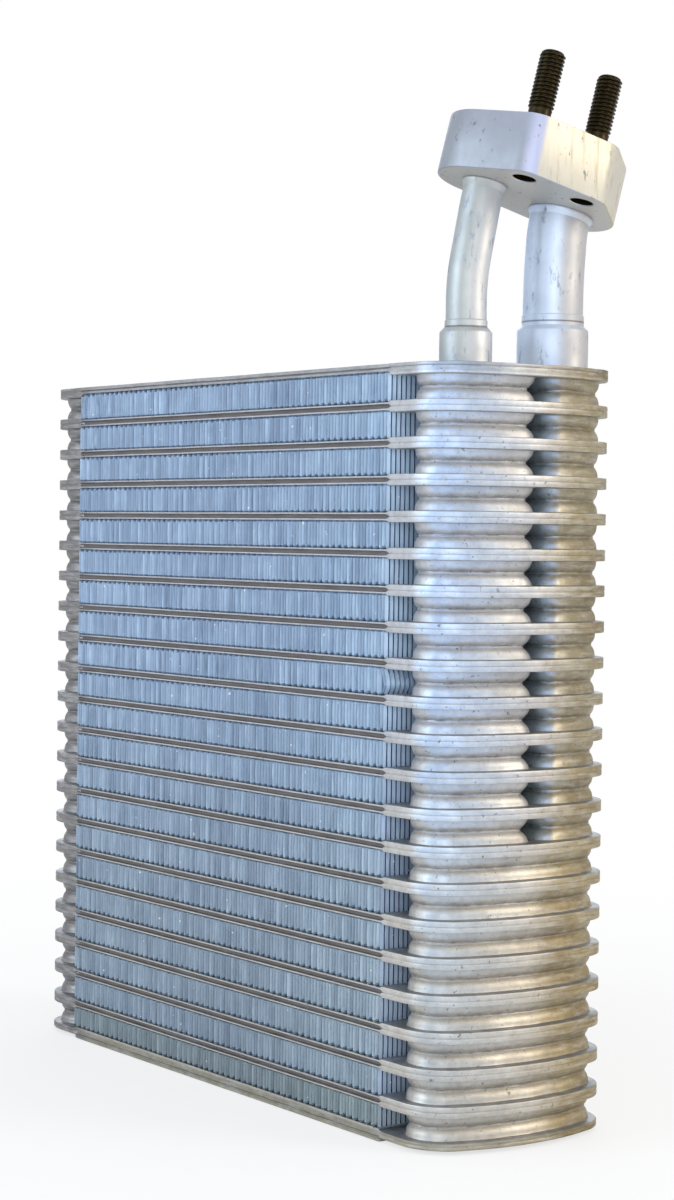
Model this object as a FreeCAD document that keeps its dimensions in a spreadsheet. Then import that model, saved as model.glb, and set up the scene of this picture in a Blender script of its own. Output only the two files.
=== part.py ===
"""Evaporator core: stacked stamped tubes with corrugated fins, two pipes and a fitting block.

Millimetres. X runs along the core towards the pipe end, Y from the front face to the back face,
Z upwards. The origin is the middle of the bottom end plate's underside.
"""
import FreeCAD, Part
import math
import os

import Sketcher

TUBE_COUNT = 20
# the tank cups are two separate columns down to the joint under this tube's upper side
LAST_SPLIT_TUBE = 13
# each pipe and the side of the group's middle on which it stands
PIPES = {"small": "-1", "large": "1"}
# straight steps in each round stretch of a plate's end
CORNER_STEPS = 4
BULGE_STEPS = 4
# two heights this close are the same
TOUCH = 0.001
BLOCK_SEAT = ("0", "block_offset", "core_height + block_rise")
STUD_PLACES = ("-stud_low", "stud_high")

SIZES = {
    "fin_length": 190.8,
    "tank_length": 31.05,
    "core_depth": 74.1,
    "end_bulge_radius": 82.4,
    "end_corner_radius": 16.3,
    "row_pitch": 11.35,
    "tube_thickness": 2.5,
    "tank_band": 3.6,
    "plate_lip": 0.6,
    "edge_groove_depth": 1.5,
    "cup_taper": 15.0,
    "cup_margin": 3.2,
    "cup_fin_gap": 3.6,
    "cup_corner": 6.0,
    "split_front_edge": 1.7,
    "split_gap": 2.8,
    "end_plate_thickness": 1.1,
    "top_fin_edge": 2.4,
    "bottom_fin_edge": 4.0,
    "bottom_rim_centre": 1.5,
    "fin_sheet": 1.1,
    "fin_folds": 10,
    "pipe_inset": 13.7,
    "pipe_group_y": -0.65,
    "pipe_group_turn": -6.0,
    "pipe_half_spacing": 16.15,
    "pipe_wall": 1.25,
    "small_pipe_diameter": 12.7,
    "large_pipe_diameter": 19.05,
    "small_bend_rise": 26.55,
    "large_bend_rise": 27.55,
    "neck_length": 5.0,
    "pipe_clearance": 0.05,
    "pipe_insertion": 8.0,
    "small_bead_diameter": 14.4,
    "large_bead_diameter": 20.6,
    "bead_height": 2.6,
    "small_socket_diameter": 16.4,
    "small_socket_height": 11.4,
    "large_socket_diameter": 22.5,
    "large_socket_height": 14.5,
    "block_offset": 4.3,
    "block_rise": 52.65,
    "block_tilt": 14.6,
    "block_thickness": 18.6,
    "small_port_diameter": 14.2,
    "large_port_diameter": 20.6,
    "port_half_spacing": 14.75,
    "small_end_radius": 15.2,
    "large_end_radius": 17.0,
    "stud_corner_radius": 7.9,
    "stud_row": 18.7,
    "stud_low": 12.6,
    "stud_high": 9.4,
    "stud_diameter": 8.0,
    "stud_shank_diameter": 7.2,
    "stud_shank_rise": 3.0,
    "stud_rise": 22.0,
    "stud_depth": 12.0,
    "stud_chamfer": 1.0,
    "stud_clearance": 0.05,
}

# sizes that follow from the ones above
DERIVED = {
    "fin_half": "fin_length / 2",
    "half_depth": "core_depth / 2",
    "bulge_centre": "fin_half + tank_length - end_bulge_radius",
    "corner_depth": "half_depth - end_corner_radius",
    "corner_reach": "sqrt((end_bulge_radius - end_corner_radius) ^ 2 - corner_depth ^ 2)",
    "end_swing": "atan2(corner_depth; corner_reach) / 1deg",
    "pipe_group_x": "fin_half + pipe_inset",
    "core_height": "bottom_rim_centre + %d * row_pitch + tank_band / 2" % (TUBE_COUNT + 1),
    "cup_height": "(row_pitch - tank_band) / 2",
    "cup_inner": "fin_half + cup_fin_gap",
    "cup_side": "half_depth - cup_margin",
    "cup_end": "end_bulge_radius - cup_margin",
    "split_rear_edge": "split_front_edge + split_gap",
    "port_rise": "port_half_spacing * sin(block_tilt * 1deg)",
    "port_reach": "port_half_spacing * cos(block_tilt * 1deg)",
}

doc = FreeCAD.newDocument("EvaporatorCore")
sheet = doc.addObject("Spreadsheet::Sheet", "Sizes")


def fill_sheet():
    row = 1
    for name, value in SIZES.items():
        sheet.set("A%d" % row, name)
        sheet.set("B%d" % row, "%g" % value)
        sheet.setAlias("B%d" % row, name)
        row += 1
    doc.recompute()
    for name, formula in DERIVED.items():
        sheet.set("A%d" % row, name)
        sheet.set("B%d" % row, "=" + formula)
        sheet.setAlias("B%d" % row, name)
        row += 1
        doc.recompute()


def words(formula):
    """A formula of aliases, written for use outside the sheet."""
    out = ""
    name = ""
    for letter in formula + " ":
        if letter.isalnum() or letter == "_":
            name += letter
            continue
        if name in SIZES or name in DERIVED:
            name = "Sizes." + name
        out += name + letter
        name = ""
    return out.strip()


def value(formula):
    """The number that a formula of aliases has now."""
    result = sheet.evalExpression(words(formula))
    return float(getattr(result, "Value", result))


def group_place(along):
    """Where a point of the pipe group's middle line lies on the core."""
    across = "pipe_group_x - (%s) * sin(pipe_group_turn * 1deg)" % along
    up = "pipe_group_y + (%s) * cos(pipe_group_turn * 1deg)" % along
    return across, up


def new_body(label, x="0", y="0", z="0", group=False, tilt="0"):
    """A sub-part at its place, turned with the pipe group and tilted where it needs to be."""
    body = doc.addObject("PartDesign::Body", label)
    body.Label = label
    if group:
        x, y = group_place(y)
        turn = "rotation(vector(0; 0; 1); pipe_group_turn) * rotation(vector(1; 0; 0); -%s)" % tilt
        place = "placement(vector(%s; %s; %s); %s)" % (x, y, z, turn)
        body.setExpression("Placement", words(place))
        return body
    for axis, formula in (("x", x), ("y", y), ("z", z)):
        if formula != "0":
            body.setExpression("Placement.Base." + axis, words(formula))
    return body


def origin_item(body, role):
    for item in body.Origin.OriginFeatures:
        if item.Role == role:
            return item
    raise ValueError(role)


def new_sketch(body, name, plane, offset="0"):
    sketch = body.newObject("Sketcher::SketchObject", name)
    sketch.AttachmentSupport = [(origin_item(body, plane), "")]
    sketch.MapMode = "FlatFace"
    if offset != "0":
        sketch.setExpression("AttachmentOffset.Base.z", words(offset))
    return sketch


def measure(sketch, kind, *where, size):
    """Add one dimension and bind it to its formula."""
    number = sketch.addConstraint(Sketcher.Constraint(kind, *where, value(size)))
    sketch.setExpression("Constraints[%d]" % number, words(size))


def place_point(sketch, line, end, across, up):
    """Hold a point at its two distances from the sketch's origin."""
    for kind, axis, size in (("DistanceX", -2, across), ("DistanceY", -1, up)):
        if size == "0":
            sketch.addConstraint(Sketcher.Constraint("PointOnObject", line, end, axis))
        else:
            measure(sketch, kind, -1, 1, line, end, size=size)


def polygon(sketch, points):
    """A closed outline of straight lines through points given as formulas."""
    at = [FreeCAD.Vector(value(across), value(up), 0) for across, up in points]
    first = None
    for number in range(len(at)):
        following = (number + 1) % len(at)
        line = sketch.addGeometry(Part.LineSegment(at[number], at[following]))
        first = line if first is None else first
        place_point(sketch, line, 1, *points[number])
        if number:
            sketch.addConstraint(Sketcher.Constraint("Coincident", line - 1, 2, line, 1))
    sketch.addConstraint(Sketcher.Constraint("Coincident", line, 2, first, 1))


def open_line(sketch, points):
    """A path of straight runs through points given as formulas."""
    at = [FreeCAD.Vector(value(across), value(up), 0) for across, up in points]
    for number in range(len(at) - 1):
        run = sketch.addGeometry(Part.LineSegment(at[number], at[number + 1]))
        place_point(sketch, run, 1, *points[number])
        if number:
            sketch.addConstraint(Sketcher.Constraint("Coincident", run - 1, 2, run, 1))
    place_point(sketch, run, 2, *points[-1])


def along_tilt(point, distance):
    """A point moved along the block's tilt."""
    return (
        "%s + (%s) * sin(block_tilt * 1deg)" % (point[0], distance),
        "%s + (%s) * cos(block_tilt * 1deg)" % (point[1], distance),
    )


def circle(sketch, across, up, radius):
    centre = FreeCAD.Vector(value(across), value(up), 0)
    ring = sketch.addGeometry(Part.Circle(centre, FreeCAD.Vector(0, 0, 1), value(radius)))
    place_point(sketch, ring, 3, across, up)
    measure(sketch, "Radius", ring, size=radius)


def pad(body, sketch, name, length, both_ways=False, reverse=False, taper=None):
    feature = body.newObject("PartDesign::Pad", name)
    feature.Profile = sketch
    feature.setExpression("Length", words(length))
    feature.Midplane = both_ways
    feature.Reversed = reverse
    if taper:
        feature.setExpression("TaperAngle", words(taper))
    body.Tip = feature
    return feature


def pocket(body, sketch, name, length, reverse=False):
    """Cut a pocket and see that it really takes something away."""
    doc.recompute()
    before = body.Shape.Volume
    feature = body.newObject("PartDesign::Pocket", name)
    feature.Profile = sketch
    feature.setExpression("Length", words(length))
    feature.Reversed = reverse
    body.Tip = feature
    doc.recompute()
    if body.Shape.Volume >= before:
        raise ValueError(name + " cuts nothing")
    return feature


def mirror_ends(body, features):
    """Repeat the pipe end's features at the far end."""
    feature = body.newObject("PartDesign::Mirrored", "FarEnd")
    feature.Originals = features
    feature.MirrorPlane = (origin_item(body, "YZ_Plane"), [""])
    body.Tip = feature


def arc(centre, radius, start, end):
    ring = Part.Circle(FreeCAD.Vector(centre[0], centre[1], 0), FreeCAD.Vector(0, 0, 1), radius)
    return Part.ArcOfCircle(ring, start, end)


def line(start, end):
    return Part.LineSegment(FreeCAD.Vector(start[0], start[1], 0), FreeCAD.Vector(end[0], end[1], 0))


def round_points(centre, radius, first, last, steps):
    """Points on an arc in equal steps, as formulas, without the last one."""
    points = []
    for step in range(steps):
        angle = "((%s) + ((%s) - (%s)) * %d / %d) * 1deg" % (last, first, last, steps - step, steps)
        points.append((
            "%s + %s * cos(%s)" % (centre[0], radius, angle),
            "%s + %s * sin(%s)" % (centre[1], radius, angle),
        ))
    return points


def end_outline(sketch):
    """The rounded end of a plate: two corners joined by one shallow bulge, in a few equal steps each."""
    corner_x = "bulge_centre + corner_reach"
    points = [("fin_half", "-half_depth")]
    points += round_points((corner_x, "-corner_depth"), "end_corner_radius", "-90", "-end_swing", CORNER_STEPS)
    points += round_points(("bulge_centre", "0"), "end_bulge_radius", "-end_swing", "end_swing", BULGE_STEPS)
    points += round_points((corner_x, "corner_depth"), "end_corner_radius", "end_swing", "90", CORNER_STEPS)
    points += [(corner_x, "half_depth"), ("fin_half", "half_depth")]
    polygon(sketch, points)


def cup_end_at(depth):
    """Formula of the cup's outer end at a given depth, a margin inside the bulge."""
    return "bulge_centre + sqrt(cup_end ^ 2 - (%s) ^ 2)" % depth


def split_cups(sketch):
    """Front and rear cup of one end, with the gap between the two tanks."""
    for side, edge in (("-cup_side", "split_front_edge"), ("cup_side", "split_rear_edge")):
        turn = "+" if side.startswith("-") else "-"
        shoulder = "%s %s cup_corner" % (side, turn)
        polygon(sketch, [
            ("cup_inner + cup_corner", side),
            (cup_end_at(side) + " - cup_corner", side),
            (cup_end_at(shoulder), shoulder),
            (cup_end_at(edge), edge),
            ("cup_inner", edge),
            ("cup_inner", shoulder),
        ])


def wide_cup(sketch):
    """The one cup that fills an end where the two tanks are joined."""
    points = []
    for side, turn in (("-cup_side", "+"), ("cup_side", "-")):
        shoulder = "%s %s cup_corner" % (side, turn)
        corner = [
            ("cup_inner", shoulder),
            ("cup_inner + cup_corner", side),
            (cup_end_at(side) + " - cup_corner", side),
            (cup_end_at(shoulder), shoulder),
        ]
        if turn == "-":
            corner.reverse()
        else:
            corner.append(("bulge_centre + cup_end", "0"))
        points += corner
    polygon(sketch, points)


def add_cups(body, split, upward):
    """Drawn cups on the upper or lower face of the tank band, narrowing to their joint."""
    name = "UpperCups" if upward else "LowerCups"
    sketch = new_sketch(body, name + "Outline", "XY_Plane", "tank_band / 2" if upward else "-tank_band / 2")
    if split:
        split_cups(sketch)
    else:
        wide_cup(sketch)
    return pad(body, sketch, name, "cup_height", reverse=not upward, taper="-cup_taper")


def add_end(body, low, high):
    """The rounded end of a plate between two heights."""
    sketch = new_sketch(body, "EndOutline", "XY_Plane", low)
    end_outline(sketch)
    return pad(body, sketch, "End", "(%s) - (%s)" % (high, low))


def tube_section(body):
    """The flat tube between the tanks: two plates with a groove between their lips on each side."""
    sketch = new_sketch(body, "TubeSection", "YZ_Plane")
    groove = "(tube_thickness / 2 - plate_lip)"
    floor = "(half_depth - edge_groove_depth)"
    points = []
    for turn, rise in (("", "-"), ("-", "")):
        fall = "" if rise else "-"
        points += [
            (turn + "half_depth", rise + "tube_thickness / 2"),
            (turn + "half_depth", rise + groove),
            (turn + floor, rise + groove),
            (turn + floor, fall + groove),
            (turn + "half_depth", fall + groove),
            (turn + "half_depth", fall + "tube_thickness / 2"),
        ]
    polygon(sketch, points)
    return pad(body, sketch, "Tube", "fin_length", both_ways=True)


def flat_section(body, low, high):
    """A flat plate over the fin zone between two heights."""
    sketch = new_sketch(body, "PlateSection", "YZ_Plane")
    polygon(sketch, [
        ("-half_depth", low),
        ("half_depth", low),
        ("half_depth", high),
        ("-half_depth", high),
    ])
    return pad(body, sketch, "Plate", "fin_length", both_ways=True)


def make_tube(number):
    level = "bottom_rim_centre + %d * row_pitch" % (TUBE_COUNT + 1 - number)
    body = new_body("tube_%02d" % number, z=level)
    tube_section(body)
    end = add_end(body, "-tank_band / 2", "tank_band / 2")
    upper = add_cups(body, number <= LAST_SPLIT_TUBE, True)
    lower = add_cups(body, number < LAST_SPLIT_TUBE, False)
    mirror_ends(body, [end, upper, lower])
    return body


def make_fin(number):
    """A strip folded up and down between two tubes, made as one fold and repeated."""
    above = "bottom_rim_centre + %d * row_pitch - tube_thickness / 2" % (TUBE_COUNT + 2 - number)
    below = "bottom_rim_centre + %d * row_pitch + tube_thickness / 2" % (TUBE_COUNT + 1 - number)
    if number == 1:
        above = "core_height - top_fin_edge"
    if number == TUBE_COUNT + 1:
        below = "bottom_fin_edge"
    body = new_body("fin_%02d" % number, x="-fin_half", z=below)
    tall = "(%s) - (%s)" % (above, below)
    pitch = "fin_length / fin_folds"
    sketch = new_sketch(body, "FoldSection", "XZ_Plane")
    polygon(sketch, [
        ("0", "0"),
        ("(%s) / 2" % pitch, "%s - fin_sheet" % tall),
        (pitch, "0"),
        (pitch, "fin_sheet"),
        ("(%s) / 2" % pitch, tall),
        ("0", "fin_sheet"),
    ])
    fold = pad(body, sketch, "Fold", "core_depth", both_ways=True)
    row = body.newObject("PartDesign::LinearPattern", "Folds")
    row.Originals = [fold]
    row.Direction = (origin_item(body, "X_Axis"), [""])
    row.setExpression("Length", words("fin_length - %s" % pitch))
    row.setExpression("Occurrences", words("fin_folds"))
    body.Tip = row
    return body


def make_top_plates():
    """The stamped plate that closes the uppermost row, and the flat end plate with the pipe holes."""
    cups = new_body("top_cup_plate", z="core_height - tank_band / 2")
    underside = "tank_band / 2 - end_plate_thickness"
    flat_section(cups, "tank_band / 2 - top_fin_edge", underside)
    end = add_end(cups, "-tank_band / 2", underside)
    lower = add_cups(cups, True, False)
    mirror_ends(cups, [end, lower])

    flat = new_body("top_end_plate", z="core_height - end_plate_thickness")
    flat_section(flat, "0", "end_plate_thickness")
    end = add_end(flat, "0", "end_plate_thickness")
    mirror_ends(flat, [end])
    holes = new_sketch(flat, "PipeHoles", "XY_Plane")
    for size, side in PIPES.items():
        across, up = group_place(side + " * pipe_half_spacing")
        circle(holes, across, up, "%s_pipe_diameter / 2 + pipe_clearance" % size)
    pocket(flat, holes, "PipeHole", "end_plate_thickness", reverse=True)
    return [cups, flat]


def make_bottom_plates():
    """The stamped plate that closes the lowest row, and the flat end plate under the fin zone."""
    cups = new_body("bottom_cup_plate", z="bottom_rim_centre")
    underside = "end_plate_thickness - bottom_rim_centre"
    flat_section(cups, underside, "bottom_fin_edge - bottom_rim_centre")
    end = add_end(cups, underside, "tank_band / 2")
    upper = add_cups(cups, False, True)
    mirror_ends(cups, [end, upper])

    flat = new_body("bottom_end_plate")
    flat_section(flat, "0", "end_plate_thickness")
    return [cups, flat]


def make_socket(size, side):
    """A turned collar on the end plate that holds the foot of a pipe."""
    across, up = group_place(side + " * pipe_half_spacing")
    body = new_body(size + "_socket", across, up, "core_height")
    outline = new_sketch(body, "SocketOutline", "XY_Plane")
    circle(outline, "0", "0", size + "_socket_diameter / 2")
    circle(outline, "0", "0", size + "_pipe_diameter / 2 + pipe_clearance")
    pad(body, outline, "Socket", size + "_socket_height")
    return body


def make_pipe(size, side):
    """A tube that leans over at one bend and straightens into the block at a second one."""
    body = new_body(size + "_pipe", z="core_height - end_plate_thickness", group=True)
    foot = side + " * pipe_half_spacing"
    port = (
        "block_offset + %s * port_reach" % side,
        "end_plate_thickness + block_rise - %s * port_rise" % side,
    )
    path = new_sketch(body, "PipePath", "YZ_Plane")
    open_line(path, [
        (foot, "0"),
        (foot, "end_plate_thickness + %s_bend_rise" % size),
        along_tilt(port, "-neck_length"),
        along_tilt(port, "pipe_insertion"),
    ])
    section = new_sketch(body, "PipeSection", "XY_Plane")
    circle(section, "0", foot, size + "_pipe_diameter / 2")
    circle(section, "0", foot, size + "_pipe_diameter / 2 - pipe_wall")
    sweep = body.newObject("PartDesign::AdditivePipe", "Pipe")
    sweep.Profile = section
    sweep.Spine = (path, ["Edge1", "Edge2", "Edge3"])
    sweep.Transition = "Right corner"
    body.Tip = sweep
    doc.recompute()

    bead = new_sketch(body, "BeadOutline", "XY_Plane")
    tilt = "rotation(vector(1; 0; 0); -block_tilt)"
    bead.setExpression("AttachmentOffset", words("placement(vector(0; %s; %s); %s)" % (port + (tilt,))))
    doc.recompute()
    circle(bead, "0", "0", size + "_bead_diameter / 2")
    circle(bead, "0", "0", "(%s_pipe_diameter - pipe_wall) / 2" % size)
    pad(body, bead, "Bead", "bead_height", reverse=True)
    return body


def hull(sketch, circles):
    """Arcs round the given circles, counter-clockwise, joined by straight tangents."""
    rounds = [tuple(value(size) for size in entry) for entry in circles]
    touches = []
    for number, (x1, y1, r1) in enumerate(rounds):
        x2, y2, r2 = rounds[(number + 1) % len(rounds)]
        heading = math.atan2(y2 - y1, x2 - x1)
        spread = math.acos((r1 - r2) / math.hypot(x2 - x1, y2 - y1))
        touches.append(heading - spread)
    arcs = []
    for number, (x, y, r) in enumerate(rounds):
        arcs.append(sketch.addGeometry(arc((x, y), r, touches[number - 1], touches[number])))
    for number, (x, y, r) in enumerate(rounds):
        following = (number + 1) % len(rounds)
        x2, y2, r2 = rounds[following]
        swing = touches[number]
        start = (x + r * math.cos(swing), y + r * math.sin(swing))
        end = (x2 + r2 * math.cos(swing), y2 + r2 * math.sin(swing))
        side = sketch.addGeometry(line(start, end))
        sketch.addConstraint(Sketcher.Constraint("Tangent", arcs[number], 2, side, 1))
        sketch.addConstraint(Sketcher.Constraint("Tangent", side, 2, arcs[following], 1))
    for number, (across, up, radius) in enumerate(circles):
        place_point(sketch, arcs[number], 3, across, up)
        measure(sketch, "Radius", arcs[number], size=radius)


def make_block():
    """The machined block: two ports for the pipes and two holes for the studs."""
    body = new_body("fitting_block", *BLOCK_SEAT, group=True, tilt="block_tilt")
    outline = new_sketch(body, "BlockOutline", "XY_Plane")
    hull(outline, [
        ("0", "-port_half_spacing", "small_end_radius"),
        ("stud_row", "-stud_low", "stud_corner_radius"),
        ("stud_row", "stud_high", "stud_corner_radius"),
        ("0", "port_half_spacing", "large_end_radius"),
    ])
    pad(body, outline, "Block", "block_thickness")
    through = new_sketch(body, "ThroughHoles", "XY_Plane")
    for size, side in PIPES.items():
        circle(through, "0", side + " * port_half_spacing", size + "_pipe_diameter / 2 + pipe_clearance")
    for up in STUD_PLACES:
        circle(through, "stud_row", up, "stud_shank_diameter / 2 + stud_clearance")
    pocket(body, through, "Through", "block_thickness", reverse=True)
    ports = new_sketch(body, "PortOutline", "XY_Plane", "block_thickness")
    for size, side in PIPES.items():
        circle(ports, "0", side + " * port_half_spacing", size + "_port_diameter / 2")
    pocket(body, ports, "Ports", "block_thickness - pipe_insertion")
    return body


def make_studs():
    """Both studs: a plain shank set in the block, and the threaded end above it."""
    body = new_body("studs", *BLOCK_SEAT, group=True, tilt="block_tilt")
    body.AllowCompound = True
    shanks = new_sketch(body, "ShankOutline", "XY_Plane", "block_thickness - stud_depth")
    threads = new_sketch(body, "ThreadOutline", "XY_Plane", "block_thickness + stud_shank_rise")
    for up in STUD_PLACES:
        circle(shanks, "stud_row", up, "stud_shank_diameter / 2")
        circle(threads, "stud_row", up, "stud_diameter / 2")
    pad(body, shanks, "Shanks", "stud_depth + stud_shank_rise")
    thread = pad(body, threads, "Threads", "stud_rise - stud_shank_rise")
    doc.recompute()
    top = value("block_thickness + stud_rise")
    tips = []
    for number, edge in enumerate(thread.Shape.Edges, 1):
        if edge.Closed and abs(edge.Curve.Center.z - top) < TOUCH:
            tips.append("Edge%d" % number)
    chamfer = body.newObject("PartDesign::Chamfer", "Tips")
    chamfer.Base = (thread, tips)
    chamfer.setExpression("Size", words("stud_chamfer"))
    body.Tip = chamfer
    return body


fill_sheet()
parts = []
for tube in range(1, TUBE_COUNT + 1):
    parts.append(make_tube(tube))
for fin in range(1, TUBE_COUNT + 2):
    parts.append(make_fin(fin))
parts += make_top_plates()
parts += make_bottom_plates()
for size, side in PIPES.items():
    parts.append(make_socket(size, side))
    parts.append(make_pipe(size, side))
parts.append(make_block())
parts.append(make_studs())
doc.recompute()

for item in doc.Objects:
    if "Invalid" in item.State or "Error" in item.State:
        raise RuntimeError("%s is %s" % (item.Name, item.State))
os.makedirs("parts", exist_ok=True)
for body in parts:
    if body.Shape.isNull() or not body.Shape.isValid():
        raise RuntimeError(body.Label + " has no valid shape")
for body in parts:
    body.Shape.exportStep("parts/%s.step" % body.Label)
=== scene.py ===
"""Evaporator core: brazed stack of stamped tubes and louvred fins, with two pipes and a fitting block."""

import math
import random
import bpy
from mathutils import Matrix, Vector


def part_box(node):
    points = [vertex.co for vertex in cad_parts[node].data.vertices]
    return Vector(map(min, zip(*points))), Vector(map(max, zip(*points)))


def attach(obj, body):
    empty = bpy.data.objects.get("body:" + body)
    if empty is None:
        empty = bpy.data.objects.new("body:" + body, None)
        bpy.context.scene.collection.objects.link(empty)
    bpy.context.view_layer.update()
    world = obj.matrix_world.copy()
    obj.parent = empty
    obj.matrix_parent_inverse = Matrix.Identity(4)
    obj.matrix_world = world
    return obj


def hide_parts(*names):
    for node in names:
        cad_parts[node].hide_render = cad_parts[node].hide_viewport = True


bl_info = {
    "name": "Evaporator core",
    "version": (1, 0, 0),
    "blender": (4, 5, 0),
    "location": "3D View > Sidebar > Evaporator core",
    "description": "Stamped tubes, louvred fins, pipes, fitting block and studs of an evaporator core",
    "category": "Object",
}

import bmesh
import bpy
from bpy.props import FloatProperty, FloatVectorProperty, IntProperty, PointerProperty
from mathutils import Matrix, Vector, noise

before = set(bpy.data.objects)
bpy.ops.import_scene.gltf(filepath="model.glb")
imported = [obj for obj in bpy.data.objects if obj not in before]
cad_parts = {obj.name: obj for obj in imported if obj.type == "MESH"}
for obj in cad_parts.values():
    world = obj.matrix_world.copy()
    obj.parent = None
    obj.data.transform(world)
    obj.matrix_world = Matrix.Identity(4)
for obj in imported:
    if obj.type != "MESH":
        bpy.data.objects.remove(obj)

# the noise that makes the sheet uneven starts from the same place each run
SHEET_SEED = 1
noise.seed_set(SHEET_SEED)

MM = 0.001
TUBES = sorted(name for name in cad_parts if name.startswith("tube_"))
FINS = sorted(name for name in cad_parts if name.startswith("fin_"))
LAST_SPLIT_TUBE = 13
FIN_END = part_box(FINS[0])[1].x
CORE_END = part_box(TUBES[0])[1].x
HALF_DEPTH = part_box(TUBES[0])[1].y
CORE_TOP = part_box("top_end_plate")[1].z
BUMP_SCALE = 90
ROUND_STEPS = 48


def length(name, description, default):
    return FloatProperty(
        name=name, description=description, default=default, min=0, unit="LENGTH", precision=5
    )


def colour(name, description, default):
    return FloatVectorProperty(
        name=name, description=description, default=default, subtype="COLOR", size=3, min=0, max=1
    )


class CoreSizes(bpy.types.PropertyGroup):
    """Sizes of the stack of tubes and fins"""

    bulge_radius: length("End bulge", "Radius of the shallow bulge at each end of a plate", 82.4 * MM)
    corner_radius: length("End corner", "Radius of the corners at each end of a plate", 16.3 * MM)
    tank_band: length("Tank rim", "Height of a tube's rim round the tanks", 3.6 * MM)
    cup_margin: length("Cup margin", "Rim left free round a cup", 3.2 * MM)
    cup_round: length("Cup rounding", "Rounding of a cup towards its joint", 1.6 * MM)
    gap_round: length("Gap rounding", "Rounding of a cup towards the gap between two cups", 3.1 * MM)
    split_front: length("Front cup edge", "Where the front cup ends, behind the middle", 1.7 * MM)
    split_rear: length("Rear cup edge", "Where the rear cup starts, behind the middle", 4.5 * MM)
    folds: IntProperty(name="Fin folds", description="Folds in each fin", default=57, min=10, max=70)
    fin_reach: length("Fin overhang", "How far the fins reach towards the far tanks", 1.5 * MM)
    louvre: length("Louvre", "Width of one louvre", 1.8 * MM)
    louvred_depth: length("Louvred depth", "How deep the louvres are cut from each face", 15.0 * MM)


class FittingSizes(bpy.types.PropertyGroup):
    """Sizes of the pipes, their sockets, the block and the studs"""

    small_pipe: length("Small pipe", "Outside diameter of the small pipe", 12.7 * MM)
    large_pipe: length("Large pipe", "Outside diameter of the large pipe", 19.05 * MM)
    pipe_wall: length("Pipe wall", "Wall of both pipes", 1.25 * MM)
    block_thickness: length("Block thickness", "Height of the fitting block", 18.6 * MM)
    edge_break: length("Edge break", "Chamfer on the block's edges", 0.5 * MM)
    stud: length("Stud", "Outside diameter of the thread", 8.0 * MM)
    thread_pitch: length("Thread pitch", "Rise of one turn of the thread", 1.25 * MM)


class CoreColours(bpy.types.PropertyGroup):
    """Colours of the metals and the stage"""

    tank: colour("Brazed aluminium", "Stamped plates and cups", (0.45, 0.45, 0.44))
    groove: colour("Sooted groove", "Groove between the two plates of a tube", (0.17, 0.155, 0.15))
    fin: colour("Fin aluminium", "Thin louvred sheet", (0.465, 0.60, 0.77))
    pipe: colour("Drawn aluminium", "Pipes and their sockets", (0.57, 0.60, 0.64))
    block: colour("Machined aluminium", "Fitting block", (0.58, 0.56, 0.50))
    block_shaded_side: colour("Shaded side", "Side of the fitting block painted in shade", (0.31, 0.33, 0.365))
    stud: colour("Black oxide", "Studs", (0.030, 0.022, 0.009))
    floor: colour("Floor", "Floor and backdrop", (0.86, 0.86, 0.86))


def core():
    return bpy.context.scene.core_sizes


def fittings():
    return bpy.context.scene.fitting_sizes


def show(name, data):
    """A new object in the scene."""
    thing = bpy.data.objects.new(name, data)
    bpy.context.scene.collection.objects.link(thing)
    return thing


class Shell:
    """Vertices and faces of one piece while it is put together"""

    def __init__(self):
        self.points = []
        self.faces = []

    def row(self, points):
        """Add points and return their numbers."""
        start = len(self.points)
        self.points += [Vector(point) for point in points]
        return list(range(start, len(self.points)))

    def skin(self, first, second, closed=True):
        """Faces between two rows of equal length."""
        count = len(first)
        for here in range(count if closed else count - 1):
            there = (here + 1) % count
            self.faces.append((first[here], first[there], second[there], second[here]))

    def stack(self, rows, closed=True):
        for lower, upper in zip(rows, rows[1:]):
            self.skin(lower, upper, closed)

    def cap(self, numbers, turned=False):
        self.faces.append(tuple(reversed(numbers)) if turned else tuple(numbers))

    def mesh(self, name, material):
        mesh = bpy.data.meshes.new(name)
        mesh.from_pydata(self.points, [], self.faces)
        mesh.validate()
        mesh.shade_smooth()
        mesh.materials.append(material)
        return mesh

    def piece(self, name, node, slot, kind, smooth=35.0, bumpy=0.0, second=None, where=None):
        """The object that stands for a node, with its finish, and a second finish where a test says."""
        if bumpy:
            for point in self.points:
                point += noise.noise_vector(point * BUMP_SCALE) * bumpy
        mesh = self.mesh(name, finish(kind))
        mesh.set_sharp_from_angle(angle=math.radians(smooth))
        if second:
            mesh.materials.append(finish(second))
            for face in mesh.polygons:
                face.material_index = int(where(face.center))
        piece = show(name, mesh)
        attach(piece, "root")
        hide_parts(node)
        return piece


def turn_faces(piece):
    """Point all faces outwards."""
    work = bmesh.new()
    work.from_mesh(piece.data)
    bmesh.ops.recalc_face_normals(work, faces=work.faces)
    work.to_mesh(piece.data)
    work.free()


def smooth_step(value, low, high):
    share = min(max((value - low) / (high - low), 0.0), 1.0)
    return share * share * (3 - 2 * share)


def mix(first, second, share):
    return first + (second - first) * share


def circle(steps=ROUND_STEPS):
    """Cosine and sine at each step round a circle, anticlockwise."""
    angles = (2 * math.pi * step / steps for step in range(steps))
    return [(math.cos(angle), math.sin(angle)) for angle in angles]


def tint(base, factor):
    return tuple(min(channel * share, 1.0) for channel, share in zip(base, factor))


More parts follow.
